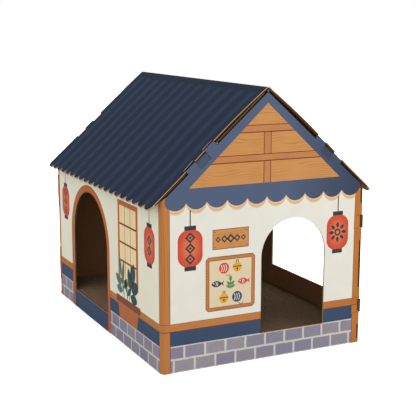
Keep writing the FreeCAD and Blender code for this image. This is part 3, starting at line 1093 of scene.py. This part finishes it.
def draw_picture():
    """A frame with cut corners round a pale panel of cat toys: yarn, bells, fish and a sprig."""
    left, right, low, high = picture = (-106, -20, 90, 176.4)
    edge, inner = 0.8, 6.2
    dark = ink("outline")
    drawing = Drawing("front_framed_picture", "front")
    drawing.box(*picture, dark, corner=4.5)
    drawing.box(*picture, timber_ink("timber", 4.6, 4.0), 1, inset=edge, corner=4.2)
    drawing.box(*picture, dark, 2, inset=inner - edge)
    drawing.box(*picture, ink("panel"), 3, inset=inner)
    middle_u, middle_v = (left + right) / 2, (low + high) / 2
    step_u, step_v = 23, 24
    toys = (
        (yarn_ball, -0.5, 1, "coral"), (bell, 0.5, 1, "gold"),
        (toy_fish, -1, 0, "ink"), (sprig, 0, 0, "green"), (toy_fish, 1, 0, "coral"),
        (bell, -0.5, -1, "gold"), (yarn_ball, 0.5, -1, "navy"),
    )
    for draw, column, row, paint in toys:
        draw(drawing, middle_u + column * step_u, middle_v + row * step_v, ink(paint))
    drawing.paste()


# One millimetre of the toys' drawings, as large as it is printed
TOY = 1.15


def yarn_ball(drawing, u, v, paint):
    """A ball with three curved threads and a loose end."""
    drawing.disc(u, v, 7.6 * TOY, paint, 4)
    for offset in (-1, 0, 1):
        drawing.band(u + (offset * 3.4 - 7) * TOY, v, 7.0 * TOY, 7.9 * TOY, -0.7, 1.4, ink("white"),
                     5, steps=10)
    drawing.band(u + 6.2 * TOY, v - 8.2 * TOY, 2.6 * TOY, 3.5 * TOY, math.radians(180),
                 math.radians(170), paint, 4, steps=8)


def bell(drawing, u, v, paint):
    """A round bell with a ring, a band, a slot and a hole."""
    radius = 6.8 * TOY
    dark = ink("ink")
    drawing.band(u, v + radius + TOY, 1.2 * TOY, 2.3 * TOY, 0, math.tau, dark, 4, steps=12)
    drawing.disc(u, v, radius, paint, 5)
    drawing.box(*span(u, 13.2 * TOY), v + 0.2 * TOY, v + 1.4 * TOY, dark, 6)
    drawing.disc(u, v - 2.2 * TOY, 1.3 * TOY, dark, 6, steps=12)
    drawing.box(*span(u, 0.9 * TOY), v - 5.6 * TOY, v - 2.4 * TOY, dark, 7)


def toy_fish(drawing, u, v, paint):
    """A stuffed fish: a pointed body, a forked tail, two stripes and an eye."""
    white = ink("white")
    drawing.leaf(u - 9 * TOY, v, 15.5 * TOY, 8.6 * TOY, 0, paint, 4)
    tail, tip, spread = u + 5.2 * TOY, 4.6 * TOY, 3.8 * TOY
    drawing.shape([(tail, v), (tail + tip, v - spread), (tail + 3.2 * TOY, v),
                   (tail + tip, v + spread)], paint, 5)
    drawing.disc(u - 5.4 * TOY, v + 0.9 * TOY, 0.9 * TOY, white, 6, steps=10)
    for offset in (-5.6, -3.4):
        drawing.band(u + offset * TOY, v, 3.6 * TOY, 4.4 * TOY, -0.75, 1.5, white, 6, steps=8)


def sprig(drawing, u, v, paint):
    """A stem with leaves on both sides."""
    drawing.box(*span(u, TOY), v - 8.5 * TOY, v + 3 * TOY, ink("forest"), 4)
    drawing.leaf(u, v + 1.5 * TOY, 8.5 * TOY, 4.4 * TOY, math.radians(90), paint, 6)
    for foot, lean in ((-3.2, 40), (-7, 28)):
        for turn in (lean, 180 - lean):
            drawing.leaf(u, v + foot * TOY, 7.6 * TOY, 3.8 * TOY, math.radians(turn), paint, 5)


class CATHOUSE_OT_windows(bpy.types.Operator):
    """Draw the lattice windows and the trim of the cut window"""

    bl_idname = "cat_house.draw_windows"
    bl_label = "Draw Windows"

    def execute(self, context):
        draw_lattice("left", 71, 158, 105.5, 245)
        draw_lattice("right", 80, 167, 105.5, 245)
        draw_lattice("back", -43.5, 43.5, 105.5, 232)
        draw_window_trim()
        return {"FINISHED"}


def draw_lattice(side, left, right, low, high):
    """A timber frame round paper panes, with thin bars and pale lines down the panes."""
    window = (left, right, low, high)
    edge, wood = 0.6, 8
    dark = ink("outline")
    drawing = Drawing(side + "_lattice_window", side)
    drawing.box(*window, timber_ink("trim", 4.6, 4.0, 0.4))
    drawing.box(*window, dark, 1, inset=wood - edge)
    drawing.box(*window, ink("pane"), 2, inset=wood)
    left, right, low, high = left + wood, right - wood, low + wood, high - wood
    columns, rows = 3, 4
    for number in range(1, 2 * columns):
        u = left + (right - left) * number / columns / 2
        width, paint = (1.2, ink("pane_line")) if number % 2 else (1.5, dark)
        drawing.box(*span(u, width), low, high, paint, 3)
    for number in range(1, rows):
        v = low + (high - low) * number / rows
        drawing.box(left, right, *span(v, 3), dark, 4)
    drawing.paste()


def draw_window_trim():
    """A timber frame round the window that is cut in the right wall."""
    wood, edge = 9, 1
    outside = (-166.2, 48.2, 59.4, 224.8)
    drawing = Drawing("right_window_trim", "right")
    drawing.surround(*outside, wood, timber_ink("trim", 4.6, 4.0, 0.4))
    drawing.surround(*outside, edge, ink("outline"), 1)
    drawing.paste()


class CATHOUSE_OT_side_doorway(bpy.types.Operator):
    """Draw the trim and the sill panel of the side doorway"""

    bl_idname = "cat_house.draw_side_doorway"
    bl_label = "Draw Side Doorway"

    def execute(self, context):
        raw, line = 0.2, 0.9
        middle, half, sill, head = -71.8, 88.25, 32.5, 232
        spring = head - half
        inner, outer = half + raw, half + raw + sizes().trim_width
        rings = ((inner, outer, timber_ink("trim", 4.6, 3.0, 0.4, upright=True), 0),
                 (inner, inner + line, ink("outline"), 1), (outer - line, outer, ink("outline"), 1))
        drawing = Drawing("left_doorway_trim", "left")
        for near, far, paint, layer in rings:
            drawing.band(middle, spring, near, far, 0, math.pi, paint, layer, steps=40, leg=spring)
        drawing.box(middle - inner, middle + inner, 0, sill - raw, ink("navy"))
        drawing.paste()
        return {"FINISHED"}


class CATHOUSE_OT_plant(bpy.types.Operator):
    """Draw the potted plant under the lattice window"""

    bl_idname = "cat_house.draw_plant"
    bl_label = "Draw Potted Plant"

    def execute(self, context):
        rim_low, rim_high, foot = 71, 82, 44
        drawing = Drawing("left_potted_plant", "left")
        drawing.shape([(75, foot), (151, foot), (158, rim_low), (68, rim_low)], ink("pot"), 6)
        drawing.box(61, 165, rim_low, rim_high, ink("pot_rim"), 7)
        # Foot to the right and up, length, width and lean to the left in degrees
        light = ((85, 115, 40, 10, 15), (90, 106, 40, 10, -8), (83, 102, 28, 13, 58),
                 (90, 93, 26, 14, 84), (93, 98, 27, 12, -44), (109, 93, 24, 9, 16))
        dark = ((131, 113, 37, 21, -13), (126, 103, 36, 15, 17), (130, 102, 30, 21, -60),
                (125, 91, 27, 17, -95), (112, 90, 19, 9, -38))
        stems = ((98, 82, 39, 2, 22), (117, 82, 36, 2, -23), (110, 82, 14, 1.6, 0))
        for paint, vein, leaves in (("teal", "forest", light), ("forest", "teal", dark)):
            for u, v, long, width, lean in leaves:
                turn = math.radians(90 + lean)
                drawing.leaf(u, v, long, width, turn, ink(paint), 8)
                drawing.leaf(u, v, long * 0.84, 1, turn, ink(vein), 9, steps=4)
        for u, v, long, width, lean in stems:
            drawing.leaf(u, v, long, width, math.radians(90 + lean), ink("forest"), 7, steps=4)
        drawing.paste()
        return {"FINISHED"}


class CATHOUSE_OT_pad(bpy.types.Operator):
    """Build the scratching pad of corrugated strips on edge"""

    bl_idname = "cat_house.build_pad"
    bl_label = "Build Scratching Pad"

    def execute(self, context):
        low, high = node_box("scratch_pad")
        size, middle = high - low, (low + high) / 2
        strips = 86
        pitch = size.x / strips
        liner, medium, cell = 0.7, 0.4, 9
        floor = high.z - cell
        bm = bmesh.new()
        core = placed((middle.x, middle.y, (low.z + floor) / 2), (size.x, size.y, floor - low.z))
        bmesh.ops.create_cube(bm, size=1, matrix=core)
        for number in range(strips + 1):
            x = min(max(low.x + number * pitch, low.x + liner / 2), high.x - liner / 2)
            sheet = placed((x, middle.y, floor + cell / 2), (liner, size.y, cell))
            bmesh.ops.create_cube(bm, size=1, matrix=sheet)
        sheets = make_piece("scratch_pad_strips", bm, [pad_paper()], "pad")
        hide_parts("scratch_pad")

        bm = bmesh.new()
        wave = 8
        steps = round(size.y / wave) * 4
        swing = (pitch - liner - medium) / 2
        chance = random.Random(7)
        for number in range(strips):
            x = low.x + (number + 0.5) * pitch
            flute = placed((x, middle.y, high.z - 0.15), (medium, size.y, 1))
            verts = bmesh.ops.create_grid(bm, x_segments=1, y_segments=steps, size=0.5,
                                          matrix=flute)["verts"]
            phase = chance.randrange(4)
            for vert in verts:
                step = round((vert.co.y - low.y) / size.y * steps)
                vert.co.x += swing * (0, 1, 0, -1)[(step + phase) % 4]
        thicken(bm, floor - 0.5)
        make_piece("scratch_pad_flutes", bm, [pad_paper()], "pad")
        return {"FINISHED"}


def angle(name, description, degrees):
    return FloatProperty(name=name, description=description, default=math.radians(degrees),
                         unit="ROTATION", subtype="ANGLE")


class StageSettings(bpy.types.PropertyGroup):
    bearing: angle("Bearing", "Camera's turn from the front", -26.21)
    height: angle("Height", "Camera's angle above level", 11.03)
    roll: angle("Roll", "Camera's turn about its own line of sight", 0.10)
    distance: length("Distance", "From the camera to the point it looks at", 1726.3)
    lens: FloatProperty(name="Lens", description="Focal length", unit="CAMERA", default=83.1)
    key: FloatProperty(name="Key light", description="Power of the large lamp", unit="POWER",
                       default=7.6)
    fill: FloatProperty(name="Fill light", description="Strength of the light from all round",
                        default=0.95)


# Where the camera looks
AIM = Vector((16.91, -8.0, 201.52)) * MM


class CATHOUSE_OT_stage(bpy.types.Operator):
    """Set up the camera, the lamps, the white background and the floor"""

    bl_idname = "cat_house.set_stage"
    bl_label = "Set Up Stage"

    def execute(self, context):
        settings = context.scene.cat_house_stage
        place_camera(settings)
        place_lamp(settings.key)
        light_world(settings.fill)
        lay_floor()
        context.scene.view_settings.view_transform = "Standard"
        return {"FINISHED"}


def place_camera(settings):
    data = bpy.data.cameras.new("camera")
    data.lens = settings.lens
    data.sensor_width = 36
    data.clip_start = 0.01
    camera = add_object("camera", data)
    level = math.cos(settings.height)
    back = Vector((math.sin(settings.bearing) * level, -math.cos(settings.bearing) * level,
                   math.sin(settings.height)))
    turn = back.to_track_quat("Z", "Y").to_matrix().to_4x4()
    camera.matrix_world = (Matrix.Translation(AIM + back * settings.distance) @ turn
                           @ Matrix.Rotation(settings.roll, 4, "Z"))
    bpy.context.scene.camera = camera


def place_lamp(power):
    """A large round lamp in front of the house, above it and to its right."""
    data = bpy.data.lights.new("key_lamp", "AREA")
    data.shape = "DISK"
    data.size = 1.1
    data.energy = power
    lamp = add_object("key_lamp", data)
    place, target = Vector((0.75, -1.25, 1.35)), Vector((0, 0, 0.2))
    turn = (target - place).to_track_quat("-Z", "Y").to_matrix().to_4x4()
    lamp.matrix_world = Matrix.Translation(place) @ turn


def light_world(strength):
    """White where the camera or a reflection looks, plain soft light elsewhere."""
    world = bpy.data.worlds.new("studio")
    bpy.context.scene.world = world
    world.use_nodes = True
    seen = 0.0
    for ray in ("Is Camera Ray", "Is Glossy Ray", "Is Transmission Ray"):
        seen = sums("MAXIMUM", node("ShaderNodeLightPath", {}, ray, world.node_tree), seen)
    background = world.node_tree.nodes["Background"].inputs
    feed(background["Color"], (1, 1, 1))
    feed(background["Strength"], between(seen, strength, 1))


def lay_floor():
    """A wide pale floor that shows white where it is lit and keeps the house's shadow."""
    bm = bmesh.new()
    bmesh.ops.create_circle(bm, cap_ends=True, radius=6, segments=64,
                            matrix=Matrix.Translation((0, 0, -0.2 * MM)))
    made = bpy.data.materials.new("floor")
    made.use_nodes = True
    tree = made.node_tree
    tree.nodes.clear()
    seen = node("ShaderNodeLightPath", {}, "Is Camera Ray", tree)
    tint = mix(seen, (0.6, 0.6, 0.6), (1.95, 1.95, 1.95))
    surface = tree.nodes.new("ShaderNodeOutputMaterial").inputs["Surface"]
    feed(surface, node("ShaderNodeBsdfDiffuse", {"Color": tint}))
    floor = add_mesh("floor", bm, [made])


OPERATORS = (
    CATHOUSE_OT_stage,
    CATHOUSE_OT_walls,
    CATHOUSE_OT_roof,
    CATHOUSE_OT_gables,
    CATHOUSE_OT_lanterns,
    CATHOUSE_OT_signs,
    CATHOUSE_OT_windows,
    CATHOUSE_OT_side_doorway,
    CATHOUSE_OT_plant,
    CATHOUSE_OT_pad,
)


class CATHOUSE_PT_panel(bpy.types.Panel):
    """Buttons for each part of the house, with its sizes and colours"""

    bl_idname = "CATHOUSE_PT_panel"
    bl_label = "Cat House"
    bl_space_type = "VIEW_3D"
    bl_region_type = "UI"
    bl_category = "Cat House"

    def draw(self, context):
        for operator in OPERATORS:
            self.layout.operator(operator.bl_idname)
        for group in (context.scene.cat_house_sizes, context.scene.cat_house_colours,
                      context.scene.cat_house_stage):
            column = self.layout.column(align=True)
            for name in group.__annotations__:
                column.prop(group, name)


CLASSES = (HouseSizes, HouseColours, StageSettings, *OPERATORS, CATHOUSE_PT_panel)


def register():
    for item in CLASSES:
        bpy.utils.register_class(item)
    bpy.types.Scene.cat_house_sizes = PointerProperty(type=HouseSizes)
    bpy.types.Scene.cat_house_colours = PointerProperty(type=HouseColours)
    bpy.types.Scene.cat_house_stage = PointerProperty(type=StageSettings)


def unregister():
    del bpy.types.Scene.cat_house_sizes
    del bpy.types.Scene.cat_house_colours
    del bpy.types.Scene.cat_house_stage
    for item in reversed(CLASSES):
        bpy.utils.unregister_class(item)


def main():
    register()
    bpy.ops.cat_house.set_stage()
    bpy.ops.cat_house.print_walls()
    bpy.ops.cat_house.print_roof()
    bpy.ops.cat_house.draw_gables()
    bpy.ops.cat_house.draw_lanterns()
    bpy.ops.cat_house.draw_signs()
    bpy.ops.cat_house.draw_windows()
    bpy.ops.cat_house.draw_side_doorway()
    bpy.ops.cat_house.draw_plant()
    bpy.ops.cat_house.build_pad()
    bpy.context.view_layer.update()


if __name__ == "__main__":
    main()
